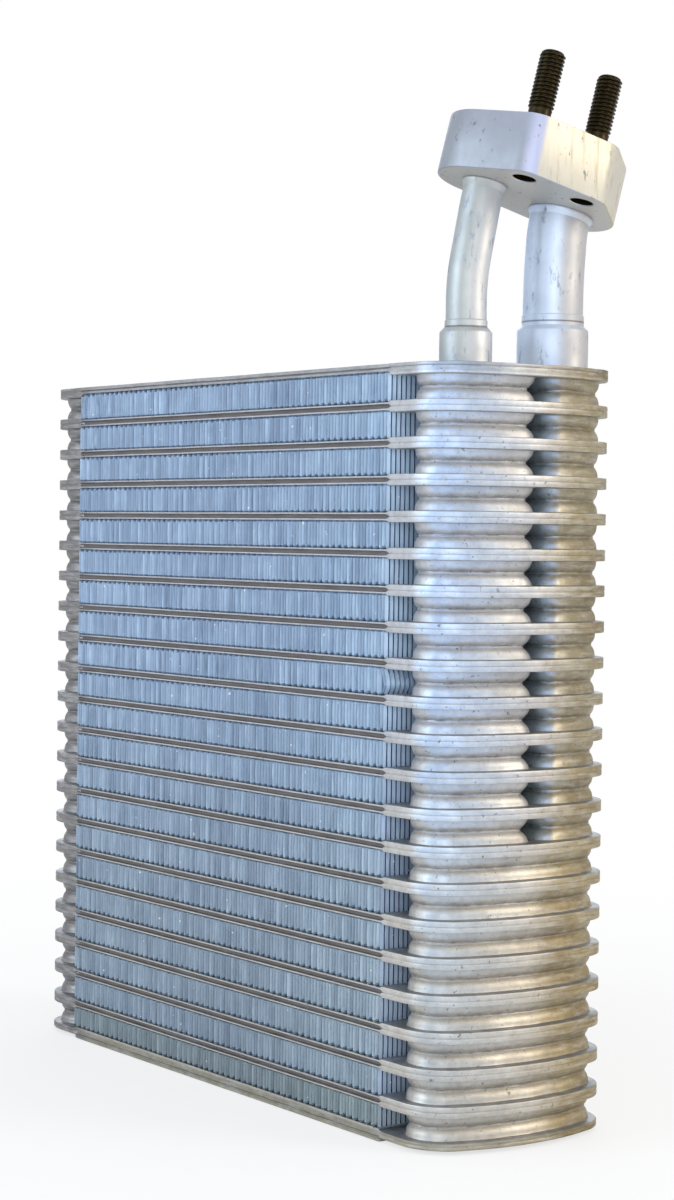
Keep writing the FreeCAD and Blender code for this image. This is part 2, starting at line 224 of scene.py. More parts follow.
class NodeBoard:
    """A material's nodes, laid out as they are added, and the colour that they paint"""

    def __init__(self, name, base):
        self.material = bpy.data.materials.new(name)
        self.material.use_nodes = True
        self.tree = self.material.node_tree
        self.shader = self.tree.nodes["Principled BSDF"]
        self.base = base
        self.colour = base
        coordinates = self.add("ShaderNodeTexCoord").outputs
        self.place = coordinates["Object"]
        self.normal = coordinates["Normal"]

    def add(self, kind, links=None, **settings):
        node = self.tree.nodes.new(kind)
        node.location = (-1200 + 60 * len(self.tree.nodes), -160 * (len(self.tree.nodes) % 6))
        for key, value in settings.items():
            setattr(node, key, value)
        for socket, source in (links or {}).items():
            if isinstance(source, bpy.types.NodeSocket):
                self.tree.links.new(source, node.inputs[socket])
            else:
                node.inputs[socket].default_value = source
        return node

    def calc(self, operation, *values):
        return self.add("ShaderNodeMath", dict(enumerate(values)), operation=operation).outputs[0]

    def both(self, first, *others):
        """Where all of the masks are."""
        for other in others:
            first = self.calc("MULTIPLY", first, other)
        return first

    def cloud(self, scale, detail=4.0, rough=0.6):
        """Noise over the part. Its scale is one number, or three that stretch it."""
        place = self.place
        if isinstance(scale, tuple):
            place = self.add("ShaderNodeMapping", {"Vector": place, "Scale": scale}).outputs[0]
            scale = 1.0
        links = {"Vector": place, "Scale": scale, "Detail": detail, "Roughness": rough}
        return self.add("ShaderNodeTexNoise", links).outputs["Fac"]

    def ranged(self, value, low, high):
        links = {"Value": value, "From Min": low, "From Max": high}
        return self.add("ShaderNodeMapRange", links, interpolation_type="SMOOTHSTEP").outputs[0]

    def along(self, axis, low, high, wander=0.0, reach=0.0):
        """0 to 1 along an axis of the part, with a border made uneven by noise of a scale."""
        value = self.add("ShaderNodeSeparateXYZ", {0: self.place}).outputs[axis]
        if wander:
            value = self.calc("MULTIPLY_ADD", self.cloud(wander), reach, value)
        return self.ranged(value, low + reach / 2, high + reach / 2)

    def facing(self, direction, low, high):
        """0 to 1 as the surface turns to a direction of the part."""
        turn = self.add("ShaderNodeVectorMath", {0: self.normal, 1: direction}, operation="DOT_PRODUCT")
        return self.ranged(turn.outputs["Value"], low, high)

    def ramp(self, source, stops):
        node = self.add("ShaderNodeValToRGB", {"Fac": source})
        line = node.color_ramp
        while len(line.elements) < len(stops):
            line.elements.new(0.5)
        for element, (place, tone) in zip(line.elements, stops):
            element.position = place
            element.color = (tone, tone, tone, 1)
        return node.outputs["Color"]

    def spots(self, scale, low, high, detail=4.0, rough=0.6, most=1.0):
        """0 up to most as the noise goes from low to high."""
        return self.ramp(self.cloud(scale, detail, rough), ((low, 0.0), (high, most)))

    def blend(self, share, first, second, kind="MIX"):
        node = self.add("ShaderNodeMix", data_type="RGBA", blend_type=kind)
        for number, source in ((0, share), (6, first), (7, second)):
            if isinstance(source, bpy.types.NodeSocket):
                self.tree.links.new(source, node.inputs[number])
            else:
                node.inputs[number].default_value = (*source, 1)
        return node.outputs[2]

    def shades(self, share, first, second):
        """Between two tints of the base colour."""
        return self.blend(share, tint(self.base, first), tint(self.base, second))

    def paint(self, share, factor):
        """Take the colour towards a tint of the base colour."""
        self.colour = self.blend(share, self.colour, tint(self.base, factor))

    def wash(self, share, factor):
        """Multiply the colour by a factor."""
        self.colour = self.blend(share, self.colour, factor, "MULTIPLY")

    def bump(self, height, strength, distance):
        node = self.add("ShaderNodeBump", {"Height": height, "Strength": strength, "Distance": distance})
        self.tree.links.new(node.outputs["Normal"], self.shader.inputs["Normal"])

    def finished(self, rough, metallic):
        self.tree.links.new(self.colour, self.shader.inputs["Base Color"])
        self.tree.links.new(rough, self.shader.inputs["Roughness"])
        self.shader.inputs["Metallic"].default_value = metallic
        return self.material


def brazed_aluminium(base):
    """Stamped sheet after brazing: painted cool reflection towards the front and in the gap between the cups,
    tan towards the rear, painted shade on upward faces, soot specks and painted shade above the joints.
    """
    board = NodeBoard("brazed aluminium", base)
    haze = board.spots(55.0, 0.35, 0.66, 5.0)
    # bluish tints for the painted reflection of the cool window light
    window_reflection = board.shades(haze, (1.19, 1.46, 1.95), (0.97, 1.20, 1.60))
    plain = board.shades(haze, (1.22, 1.22, 1.28), (1.02, 1.00, 1.02))
    tan_rear = board.shades(haze, (0.88, 0.77, 0.52), (0.61, 0.51, 0.32))
    # tan and darker towards the rear, with an uneven border
    board.colour = board.blend(board.along("Y", -0.006, 0.018, 38.0, 0.024), plain, tan_rear)
    # painted bluish reflection on the rear cup's flank that faces the gap between the cups
    painted_flank_reflection = board.both(board.along("Y", 0.001, 0.004), board.facing((0.0, -1.0, 0.0), 0.3, 0.8))
    board.paint(painted_flank_reflection, (1.30, 1.62, 1.90))
    # painted reflection of the cool window light on the sides that face the front, weaker near the bottom
    window_reflection_share = board.both(board.facing((0.75, -0.66, 0.0), 0.72, 0.97), board.along("Z", -0.05, 0.12))
    board.colour = board.blend(window_reflection_share, board.colour, window_reflection)
    golden = board.along("Z", 0.15, 0.05, 25.0, 0.04)
    board.wash(golden, (1.06, 0.99, 0.85))
    topmost = board.along("Z", CORE_TOP - 3.2 * MM, CORE_TOP - 2.6 * MM)
    board.wash(topmost, (0.74, 0.73, 0.72))
    lowest = board.along("Z", 4.2 * MM, 2.6 * MM)
    board.wash(lowest, (0.70, 0.68, 0.58))
    far_end = board.along("X", -0.080, -0.100)
    board.paint(far_end, (0.55, 0.51, 0.50))
    # upward faces painted darker and cooler: painted shade
    board.paint(board.facing((0.0, 0.0, 1.0), 0.7, 0.95), (0.62, 0.65, 0.70))
    mottle = board.ramp(board.cloud(300.0, 3.0, 0.7), ((0.36, 1.0), (0.64, 0.0)))
    board.wash(mottle, (0.84, 0.84, 0.86))
    streaks = board.spots((150, 150, 900), 0.45, 0.75, 3.0, most=0.5)
    board.paint(streaks, (1.3, 1.3, 1.3))
    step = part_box(TUBES[0])[1].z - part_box(TUBES[0])[0].z
    height = board.add("ShaderNodeSeparateXYZ", {0: board.place}).outputs["Z"]
    above = board.calc("FLOORED_MODULO", board.calc("SUBTRACT", height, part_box(TUBES[-1])[0].z), step)
    links = {"Value": above, "From Min": 0.2 * MM, "From Max": 2.2 * MM, "To Min": 1.0, "To Max": 0.0}
    band = board.add("ShaderNodeMapRange", links).outputs[0]
    # soot specks, and painted shade in a band just above each cup joint
    soot_and_joint_shade = board.both(band, board.spots((260, 260, 700), 0.44, 0.64, 5.0, 0.7, 0.7))
    board.paint(soot_and_joint_shade, (0.42, 0.40, 0.40))
    pits = board.spots(620.0, 0.64, 0.74, 2.0, 0.75)
    board.paint(pits, (0.42, 0.40, 0.38))
    board.bump(board.cloud(900.0, 4.0, 0.7), 0.35, 0.00012)
    return board.finished(board.ramp(haze, ((0.0, 0.42), (1.0, 0.56))), 0.7)


def groove_residue_and_shade(base):
    """Dull brown-grey residue and painted shade in the grooves between the plates."""
    board = NodeBoard("sooted groove", base)
    haze = board.spots((120, 120, 600), 0.3, 0.7, 5.0)
    board.colour = board.shades(haze, (0.8, 0.8, 0.8), (1.35, 1.3, 1.3))
    board.bump(haze, 0.3, 0.0001)
    return board.finished(board.ramp(haze, ((0.0, 0.6), (1.0, 0.75))), 0.3)


def fin_aluminium(base):
    """Thin coated fin sheet, lighter and darker from place to place, with painted light on the rear face and
    painted shade behind the end leg and on the lower end legs.
    """
    board = NodeBoard("fin aluminium", base)
    patches = board.spots((70, 30, 140), 0.32, 0.7)
    board.colour = board.shades(patches, (1.12, 1.12, 1.10), (0.86, 0.88, 0.92))
    folds = board.ramp(board.cloud((800, 8, 16), 2.0), ((0.36, 1.0), (0.64, 0.0)))
    board.paint(folds, (0.80, 0.82, 0.85))
    # light upright lines: scratches, and painted highlights along the louvre edges
    scratch_and_glint_lines = board.spots((1500, 200, 60), 0.55, 0.75, 2.0)
    board.paint(scratch_and_glint_lines, (1.16, 1.16, 1.12))
    greyer = board.along("Z", 0.16, 0.03, 30.0, 0.04)
    board.wash(greyer, (0.98, 0.92, 0.84))
    lighter = board.along("X", 0.02, 0.09, 30.0, 0.03)
    board.wash(lighter, (1.18, 1.18, 1.14))
    # rear face painted lighter and warmer: painted light where the lamps reach less
    rear = board.along("Y", -0.010, 0.020)
    board.paint(rear, (1.55, 1.38, 1.14))
    # painted shade deep in the gap before the end leg, between the front face and the rear part
    behind = board.both(
        board.along("X", 0.0912, 0.0918),
        board.along("X", 0.0938, 0.0934),
        board.along("Y", 1.5 * MM - HALF_DEPTH, 2.0 * MM - HALF_DEPTH),
        board.along("Y", HALF_DEPTH - 6 * MM, HALF_DEPTH - 9 * MM),
    )
    board.wash(behind, (0.20, 0.23, 0.40))
    # end legs of the lower rows painted darker: painted shade beside the cups
    shaded_end_leg = board.both(board.along("X", 0.0936, 0.0942), board.along("Z", 0.16, 0.06))
    board.wash(shaded_end_leg, (0.76, 0.77, 0.86))
    lowest_row = board.along("Z", 12.5 * MM, 11.5 * MM)
    board.wash(lowest_row, (0.88, 0.87, 0.80))
    dust = board.spots(700.0, 0.85, 0.86, 0.0)
    board.colour = board.blend(dust, board.colour, (1.0, 1.0, 1.0))
    board.bump(board.cloud(1600.0, 2.0), 0.2, 0.00005)
    return board.finished(board.ramp(board.cloud(300.0), ((0.2, 0.50), (0.8, 0.60))), 0.6)


def drawn_aluminium(base):
    """Bent and turned pipe metal with painted light: bluish towards the front, a warm painted highlight on
    the side facing along X, the large pipe painted brighter than the small one; with handling marks, dark
    smudges and a painted shadow line at each socket's mouth.
    """
    board = NodeBoard("drawn aluminium", base)
    haze = board.spots(70.0, 0.3, 0.7, 5.0)
    # painted light: the large pipe's front brighter and bluer, the small pipe's front darker and warmer, the
    # side facing along X a warm painted highlight
    owners = {"small": board.along("Y", 0.004, -0.006), "large": board.along("Y", -0.006, 0.004)}
    front = board.shades(owners["large"], (0.83, 0.82, 0.74), (1.18, 1.28, 1.42))
    bright = board.shades(owners["large"], (1.12, 1.08, 1.04), (0.96, 0.90, 0.86))
    board.colour = board.blend(board.facing((0.98, 0.2, 0.0), 0.6, 0.95), front, bright)
    board.wash(haze, (0.80, 0.82, 0.86))
    smudges = board.spots((300, 300, 110), 0.56, 0.66, 6.0, 0.75, 0.85)
    board.paint(smudges, (0.42, 0.46, 0.54))
    for size, owner in owners.items():
        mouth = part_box(size + "_socket")[1].z
        inside = board.along("Z", mouth - 0.25 * MM, mouth)
        # painted shadow line on the pipe just above each socket's mouth
        socket_mouth_shadow = board.both(inside, board.along("Z", mouth + 0.5 * MM, mouth + 0.3 * MM), owner)
        board.wash(socket_mouth_shadow, (0.42, 0.42, 0.44))
    board.bump(board.cloud((300, 300, 2600), 3.0), 0.12, 0.0001)
    return board.finished(board.ramp(haze, ((0.0, 0.42), (1.0, 0.54))), 0.5)


def machined_aluminium(base):
    """Milled block: outer side painted bright as if lit, with upright streaks; front painted in shade with
    dark nicks and a painted bluish highlight at its corner; underside painted olive in shade.
    """
    shaded_side_colour = tuple(bpy.context.scene.core_colours.block_shaded_side)
    board = NodeBoard("machined aluminium", base)
    marks = board.cloud((900, 900, 40), 3.0)
    haze = board.spots(90.0, 0.3, 0.7)
    board.colour = board.shades(haze, (1.06, 1.06, 1.04), (0.96, 0.94, 0.90))
    streaks = board.spots((420, 420, 36), 0.54, 0.68, 5.0, 0.7, 0.7)
    board.paint(streaks, (0.62, 0.58, 0.46))
    # painted bluish highlight on the corner between the outer side and the front
    corner = board.facing((0.0, -1.0, 0.0), 0.13, 0.30)
    board.paint(corner, (0.86, 0.96, 1.45))
    # painted shade: a darker copy of the metal on the side that faces the front
    shaded_front_colour = board.blend(haze, tint(shaded_side_colour, (1.08, 1.08, 1.08)), tint(shaded_side_colour, (0.92, 0.92, 0.92)))
    board.colour = board.blend(board.facing((-0.08, -0.98, -0.2), 0.35, 0.85), board.colour, shaded_front_colour)
    # underside painted darker and olive: painted shade under the block
    under = board.facing((0.0, 0.25, -0.97), 0.8, 0.95)
    board.paint(under, (0.80, 0.75, 0.48))
    nicks = board.spots((420, 420, 260), 0.63, 0.70, 3.0, 0.7, 0.85)
    board.colour = board.blend(nicks, board.colour, tint(shaded_side_colour, (0.45, 0.45, 0.45)))
    board.bump(marks, 0.12, 0.0001)
    return board.finished(board.ramp(marks, ((0.3, 0.40), (0.7, 0.50))), 0.4)


def black_oxide(base):
    """Blackened steel with worn thread tops."""
    board = NodeBoard("black oxide steel", base)
    wear = board.spots(700.0, 0.55, 0.75, 4.0, 0.7)
    board.paint(wear, (3.4, 3.1, 1.8))
    board.bump(board.cloud(1500.0), 0.15, 0.0001)
    return board.finished(board.ramp(wear, ((0.0, 0.34), (1.0, 0.5))), 0.85)


FINISHES = {
    "tank": brazed_aluminium,
    "groove": groove_residue_and_shade,
    "fin": fin_aluminium,
    "pipe": drawn_aluminium,
    "block": machined_aluminium,
    "stud": black_oxide,
}


def finish(name):
    """The material of a finish, made once from its colour."""
    made = bpy.context.scene.core_colours.get("made_" + name)
    if made is None:
        made = FINISHES[name](tuple(getattr(bpy.context.scene.core_colours, name))).name
        bpy.context.scene.core_colours["made_" + name] = made
    return bpy.data.materials[made]


# stations along a plate's straight side, close together where the tube changes into the tank rim
SIDE_STEPS = (0.0, 0.14, 0.28, 0.42, 0.57, 0.71, 0.85, 0.96)
CHANGE_STEPS = (-1.2, -0.4, 0.4, 1.2, 4.0)
CORNER_STEPS = 10
BULGE_STEPS = 6


def bulge_centre():
    return CORE_END - core().bulge_radius


def plate_outline(inset):
    """Loop round a plate at a distance inside its edge, anticlockwise from the middle of its front."""
    sizes = core()
    corner_y = HALF_DEPTH - sizes.corner_radius
    corner_x = bulge_centre() + math.sqrt((sizes.bulge_radius - sizes.corner_radius) ** 2 - corner_y ** 2)
    swing = math.atan2(corner_y, corner_x - bulge_centre())
    side = [step * FIN_END for step in SIDE_STEPS] + [FIN_END + step * MM for step in CHANGE_STEPS]
    quarter = [(x, inset - HALF_DEPTH) for x in side]
    reach = sizes.corner_radius - inset
    for step in range(CORNER_STEPS + 1):
        angle = mix(-math.pi / 2, -swing, step / CORNER_STEPS)
        quarter.append((corner_x + reach * math.cos(angle), -corner_y + reach * math.sin(angle)))
    reach = sizes.bulge_radius - inset
    for step in range(1, BULGE_STEPS + 1):
        angle = mix(-swing, 0.0, step / BULGE_STEPS)
        quarter.append((bulge_centre() + reach * math.cos(angle), reach * math.sin(angle)))
    half = quarter + [(x, -y) for x, y in reversed(quarter[:-1])]
    return half + [(-x, y) for x, y in reversed(half[1:-1])]


def tank_share(x):
    """0 between the fins, 1 round the tanks."""
    return smooth_step(abs(x), FIN_END - 0.8 * MM, FIN_END + 0.9 * MM)


def close_plate(shell, numbers, turned):
    """Faces over a whole plate: strips across its straight part and one face over each round end."""
    count = len(numbers)
    half = count // 2
    straight = len(SIDE_STEPS) + len(CHANGE_STEPS)
    for near in range(straight):
        for four in (
            (near, near + 1, half - near - 1, half - near),
            (count - near - 1, count - near, half + near, half + near + 1),
        ):
            shell.cap([numbers[place % count] for place in four], turned)
    shell.cap(numbers[straight:half - straight + 1], turned)
    shell.cap(numbers[half + straight:count - straight + 1], turned)


def plate_body(shell, fin_edge, tank_edge, level):
    """A plate from its edge profiles at the fins and round the tanks, as (inset, height) in millimetres."""
    rows = []
    for (fin_inset, fin_rise), (tank_inset, tank_rise) in zip(fin_edge, tank_edge):
        points = []
        for (x1, y1), (x2, y2) in zip(plate_outline(fin_inset * MM), plate_outline(tank_inset * MM)):
            share = tank_share(x2)
            rise = mix(fin_rise, tank_rise, share) * MM
            points.append((mix(x1, x2, share), mix(y1, y2, share), level + rise))
        rows.append(shell.row(points))
    rows.reverse()
    shell.stack(rows)
    close_plate(shell, rows[-1], turned=False)
    close_plate(shell, rows[0], turned=True)


def rounded_loop(corners, steps=6):
    """Closed loop through corners given as (x, y, radius)."""
    loop = []
    for number, (x, y, radius) in enumerate(corners):
        here = Vector((x, y))
        if not radius:
            loop.append(here)
            continue
        before = (Vector(corners[number - 1][:2]) - here).normalized()
        after = (Vector(corners[(number + 1) % len(corners)][:2]) - here).normalized()
        half_angle = before.angle(after) / 2
        centre = here + (before + after).normalized() * radius / math.sin(half_angle)
        start = here + before * radius / math.tan(half_angle) - centre
        swing = before.angle(after) - math.pi
        turn = math.copysign(1.0, before.cross(after))
        for step in range(steps + 1):
            arm = start.copy()
            arm.rotate(Matrix.Rotation(turn * swing * step / steps, 2))
            loop.append(centre + arm)
    return loop


def inset_loop(loop, inset):
    """The loop moved inwards along its own normals. It runs anticlockwise."""
    moved = []
    for number, point in enumerate(loop):
        run = loop[(number + 1) % len(loop)] - loop[number - 1]
        moved.append(point + Vector((-run.y, run.x)).normalized() * inset)
    return moved


def cup_reach(y):
    sizes = core()
    return bulge_centre() + math.sqrt((sizes.bulge_radius - sizes.cup_margin) ** 2 - y * y)


CUP_START = 3.6 * MM
CUP_SHOULDERS = (20 * MM, 13.5 * MM)
INNER_CORNER = 9 * MM
OUTER_CORNER = 10 * MM
FRONT_GAP_CORNERS = (6 * MM, 7 * MM)
REAR_GAP_CORNER = 5 * MM


def cup_outlines(split):
    """Outlines of the cups at the pipe end: front and rear ones, or the single wide one."""
    sizes = core()
    inner, outer = FIN_END + CUP_START, cup_reach(0)
    side = HALF_DEPTH - sizes.cup_margin
    front = [(inner, -side, INNER_CORNER), (cup_reach(side), -side, OUTER_CORNER)]
    front += [(cup_reach(y), -y, 0) for y in CUP_SHOULDERS]
    rear = [(cup_reach(y), y, 0) for y in reversed(CUP_SHOULDERS)]
    rear += [(cup_reach(side), side, OUTER_CORNER), (inner, side, INNER_CORNER)]
    if not split:
        return [rounded_loop(front + [(outer, 0.0, 0)] + rear)]
    ends = zip((outer, inner), FRONT_GAP_CORNERS)
    front += [(x, sizes.split_front, radius) for x, radius in ends]
    rear_gap = [(inner, sizes.split_rear, INNER_CORNER), (outer, sizes.split_rear, REAR_GAP_CORNER)]
    return [rounded_loop(front), rounded_loop(rear_gap + rear)]


def gap_share(y):
    """1 at the gap between the front and the rear cups, 0 elsewhere."""
    sizes = core()
    middle = (sizes.split_front + sizes.split_rear) / 2
    half_gap = sizes.split_rear - middle
    return 1 - smooth_step(abs(y - middle), half_gap + 1 * MM, half_gap + 7 * MM)


# a cup's flared foot as (inset, height), shares of its height on the way up, and the bead at its joint
CUP_FOOT = ((-0.35 * MM, 0.0), (-0.1 * MM, 0.15 * MM))
CUP_SHARES = (0.1, 0.3, 0.48, 0.62, 0.74, 0.84, 0.92)
JOINT_BEAD = ((0.95, 0.02 * MM), (0.97, 0.16 * MM), (1.0, 0.20 * MM))


def add_cup(shell, outline, base, joint, split, mirrored):
    """One drawn cup from the flat of the plate to its joint, rounding in more and more towards the joint."""
    sizes = core()
    tall = abs(joint - base)
    up = math.copysign(1.0, joint - base)
    steps = [(inset, inset, height) for inset, height in CUP_FOOT]
    for share in CUP_SHARES:
        steps.append((sizes.cup_round * share ** 2.7, sizes.gap_round * share ** 2, tall * share))
    for share, bead in JOINT_BEAD:
        steps.append((sizes.cup_round * 0.8 - bead, sizes.gap_round * 0.85 - bead, tall * share))
    rows = []
    for inset, gap_inset, height in steps:
        loop = [
            plain.lerp(deep, gap_share(here.y) if split else 0.0)
            for here, plain, deep in zip(outline, inset_loop(outline, inset), inset_loop(outline, gap_inset))
        ]
        if mirrored:
            loop = [Vector((-x, y)) for x, y in reversed(loop)]
        rows.append(shell.row([(x, y, base + up * height) for x, y in loop]))
    if up < 0:
        rows.reverse()
    shell.stack(rows)
    shell.cap(rows[-1] if up > 0 else rows[0], turned=up < 0)


def add_cups(shell, base, joint, split):
    """The cups at both ends of a plate, on one of its faces."""
    for outline in cup_outlines(split):
        for mirrored in (False, True):
            add_cup(shell, outline, base, joint, split, mirrored)


FIN_SIDE_EDGE = ((3.0, 1.25), (0.3, 1.25), (0.06, 1.16), (0.0, 0.98), (0.06, 0.74), (0.3, 0.66), (1.5, 0.6))
TANK_SIDE_EDGE = ((3.0, 1.8), (0.35, 1.8), (0.08, 1.7), (0.0, 1.45), (0.0, 0.3), (0.03, 0.14), (0.14, 0.05))


def both_ways(edge):
    return list(edge) + [(inset, -rise) for inset, rise in reversed(edge)]


def build_tube(number, node):
    """Two stamped plates brazed rim to rim, with cups both ways at both ends."""
    half = core().tank_band / 2
    low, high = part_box(node)
    level = (low.z + high.z) / 2
    shell = Shell()
    plate_body(shell, both_ways(FIN_SIDE_EDGE), both_ways(TANK_SIDE_EDGE), level)
    add_cups(shell, level + half, high.z, number <= LAST_SPLIT_TUBE)
    add_cups(shell, level - half, low.z, number < LAST_SPLIT_TUBE)

    # faces in the groove take the groove finish: residue and painted shade
    def in_groove(place):
        between = 0.25 * MM < HALF_DEPTH - abs(place.y) < 2 * MM
        return between and abs(place.z - level) < 0.64 * MM and abs(place.x) < FIN_END

    shell.piece("stamped_" + node, node, "plate", "tank", bumpy=0.06 * MM, second="groove", where=in_groove)


class EVAPORATOR_OT_tubes(bpy.types.Operator):
    """Make the twenty stamped tubes with their tank cups"""

    bl_idname = "evaporator.tubes"
    bl_label = "Stamped tubes"

    def execute(self, context):
        for number, node in enumerate(TUBES, 1):
            build_tube(number, node)
        return {"FINISHED"}


def fold_line(height, pitch, first, second):
    """Half a fold from one crest's middle to the next one's: (x, z) points round crests of two radii."""
    points, rest = [(0.0, 0.0)], [(pitch / 2, height)]
    for step in range(4):
        angle = math.radians(90) * step / 3
        points.append((pitch / 4 - first * (1 - math.sin(angle)), first * (1 - math.cos(angle))))
        rest.append((pitch / 4 + second * (1 - math.sin(angle)), height - second * (1 - math.cos(angle))))
    return points, rest[::-1]


def crest_opening(row, place, upward, rng):
    """0 to 1: how far a leg flares away from its first crest, so that a dark hole shows beside the crest."""
    lower_rows = smooth_step(row, 8, 13)
    if upward:
        most = max(smooth_step(place, 0.1, 0.8), lower_rows)
    else:
        most = (1 - smooth_step(place, -0.4, 0.5)) * (1 - 0.7 * lower_rows)
    return most * rng.uniform(0.55, 1.0) + rng.uniform(0.0, 0.2)


# legs of folds bent aside, as (fin, leg), and the fin whose last fold is crushed
BENT_LEGS = {
    (0, 1): -0.9 * MM, (0, 2): 0.9 * MM, (0, 7): -0.9 * MM, (0, 8): 0.9 * MM, (0, 12): -0.4 * MM,
    (0, 17): 0.4 * MM, (1, 5): -0.4 * MM, (1, 6): 0.4 * MM, (2, 8): 0.5 * MM, (2, 11): -0.4 * MM,
    (3, 2): 0.4 * MM,
}
CRUSHED_FIN = 8
CRUSH = 1.9 * MM
CRUSH_PLACE = 0.36
FIN_INSET = 0.3 * MM
LEVELS = (0, 0.07, 0.16, 0.55, 1)
BENT_LEVELS = (0, 0.08, 0.2, 0.28, 0.36, 0.5, 0.75, 1)


def fold_lean(row, leg, share, push):
    """How far a leg is pushed along the core at a share of its height, more where it is bent or crushed."""
    if (row, leg) in BENT_LEGS:
        return BENT_LEGS[row, leg] * math.sin(share * math.pi * 1.35)
    if row == CRUSHED_FIN and leg >= 2 * core().folds - 2:
        return CRUSH * (share / CRUSH_PLACE if share < CRUSH_PLACE else (1 - share) / (1 - CRUSH_PLACE))
    return push * math.sin(share * math.pi)


def build_fin(row, node):
    """One corrugated strip: rounded crests all through, and legs cut into louvres near both faces."""
    sizes = core()
    low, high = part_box(node)
    height = high.z - low.z
    pitch = (2 * FIN_END + sizes.fin_reach) / sizes.folds
    last = 2 * sizes.folds - 1
    rng = random.Random(row + 40)
    shell = Shell()
    front = FIN_INSET - HALF_DEPTH
    whole = int(-2 * front / sizes.louvre)
    span = -2 * front / whole
    louvres = int(sizes.louvred_depth / span)
    for leg in range(last + 1):
        push = rng.uniform(-0.14, 0.14) * MM
        patch = noise.noise(Vector((leg * 0.09, row * 0.7, 3.1)))
        upward = leg % 2 == 0
        tuck = (0.14 * patch + rng.uniform(-0.2, 0.2) + (0.05 if upward else -0.05)) * MM
        opening = crest_opening(row, leg / sizes.folds - 1, upward, rng)
        start, rest = fold_line(height, pitch, mix(0.22, 0.78, min(opening, 1.0)) * MM, 0.2 * MM)
        left = leg * pitch / 2 - FIN_END - sizes.fin_reach

        def at(x, z, y, side=0.0, edge=0.0):
            flare = -0.45 * MM * opening * (1 - min(z / height / 0.24, 1.0)) ** 2
            z = z if upward else height - z
            share = z / height
            lean = fold_lean(row, leg, share, push) + flare
            return (left + x + lean + side + edge * math.sin(share * math.pi), y, low.z + z)

        def strip(points, y0, y1):
            near = shell.row([at(x, z, y0, edge=tuck) for x, z in points])
            far = shell.row([at(x, z, y1) for x, z in points])
            shell.skin(near, far, closed=False)

        leg_x = start[-1][0]
        low_z, high_z = start[-1][1] + 0.03 * height, rest[0][1] - 0.03 * height
        strip(start + [(leg_x, low_z)], front, -front)
        strip([(leg_x, high_z)] + rest, front, -front)
        shares = BENT_LEVELS if row in (0, CRUSHED_FIN) else LEVELS
        levels = [mix(low_z, high_z, share) for share in shares]
        at_end = leg in (0, last)
        wide = span * (0.58 if at_end else 0.82)
        turn = (0.22 if at_end else 0.30) * MM
        for step in range(whole):
            if louvres <= step < whole - louvres and not at_end:
                continue
            y0 = front + step * span
            tilt = turn if step < whole / 2 else -turn
            edge = tuck if step == 0 or step == whole - 1 else 0.0
            near = [at(leg_x, z, y0, -tilt, edge) for z in levels]
            far = [at(leg_x, z, y0 + wide, tilt) for z in levels]
            shell.skin(shell.row(near), shell.row(far), closed=False)
        if not at_end:
            strip([(leg_x, z) for z in levels], front + louvres * span, -front - louvres * span)
    shell.piece("louvred_" + node, node, "fin", "fin", smooth=30)


class EVAPORATOR_OT_fins(bpy.types.Operator):
    """Make the corrugated louvred fins"""

    bl_idname = "evaporator.fins"
    bl_label = "Louvred fins"

    def execute(self, context):
        for row, node in enumerate(FINS):
            build_fin(row, node)
        return {"FINISHED"}


# edge profiles of the end plates, as (inset, height) in millimetres
TOP_FIN_EDGE = (
    (3.0, 2.5), (0.9, 2.5), (0.85, 2.15), (0.2, 2.1), (0.0, 1.95), (0.0, 1.35), (0.2, 1.2), (3.0, 1.2)
)
TOP_TANK_EDGE = (
    (3.0, 2.5), (0.2, 2.5), (0.05, 2.4), (0.0, 2.2), (0.0, 1.2), (0.0, 0.25), (0.25, 0.0), (3.0, 0.0)
)
BOTTOM_FIN_EDGE = (
    (3.0, 2.9), (0.2, 2.9), (0.0, 2.7), (0.0, 2.2), (0.6, 2.0), (0.6, 0.5), (0.0, 0.3), (0.0, 0.0)
)
BOTTOM_TANK_EDGE = (
    (3.0, 2.2), (0.3, 2.2), (0.0, 1.95), (0.0, 1.3), (0.06, 1.2), (0.0, 1.1), (0.0, 0.3), (0.3, 0.0)
)
END_PLATE_EDGE = ((3.0, 1.1), (0.25, 1.1), (0.05, 1.0), (0.0, 0.85), (0.0, 0.2), (0.1, 0.0), (3.0, 0.0))


def build_top_plates():
    """The stamped plate that closes the stack, and the flat end plate on it."""
    band_low = CORE_TOP - core().tank_band
    shell = Shell()
    plate_body(shell, TOP_FIN_EDGE, TOP_TANK_EDGE, band_low)
    add_cups(shell, band_low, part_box("top_cup_plate")[0].z, True)
    shell.piece("stamped_top_plate", "top_cup_plate", "plate", "tank", bumpy=0.08 * MM)

    shell = Shell()
    plate_body(shell, END_PLATE_EDGE, END_PLATE_EDGE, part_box("top_end_plate")[0].z)
    shell.piece("flat_top_plate", "top_end_plate", "plate", "tank", bumpy=0.1 * MM)


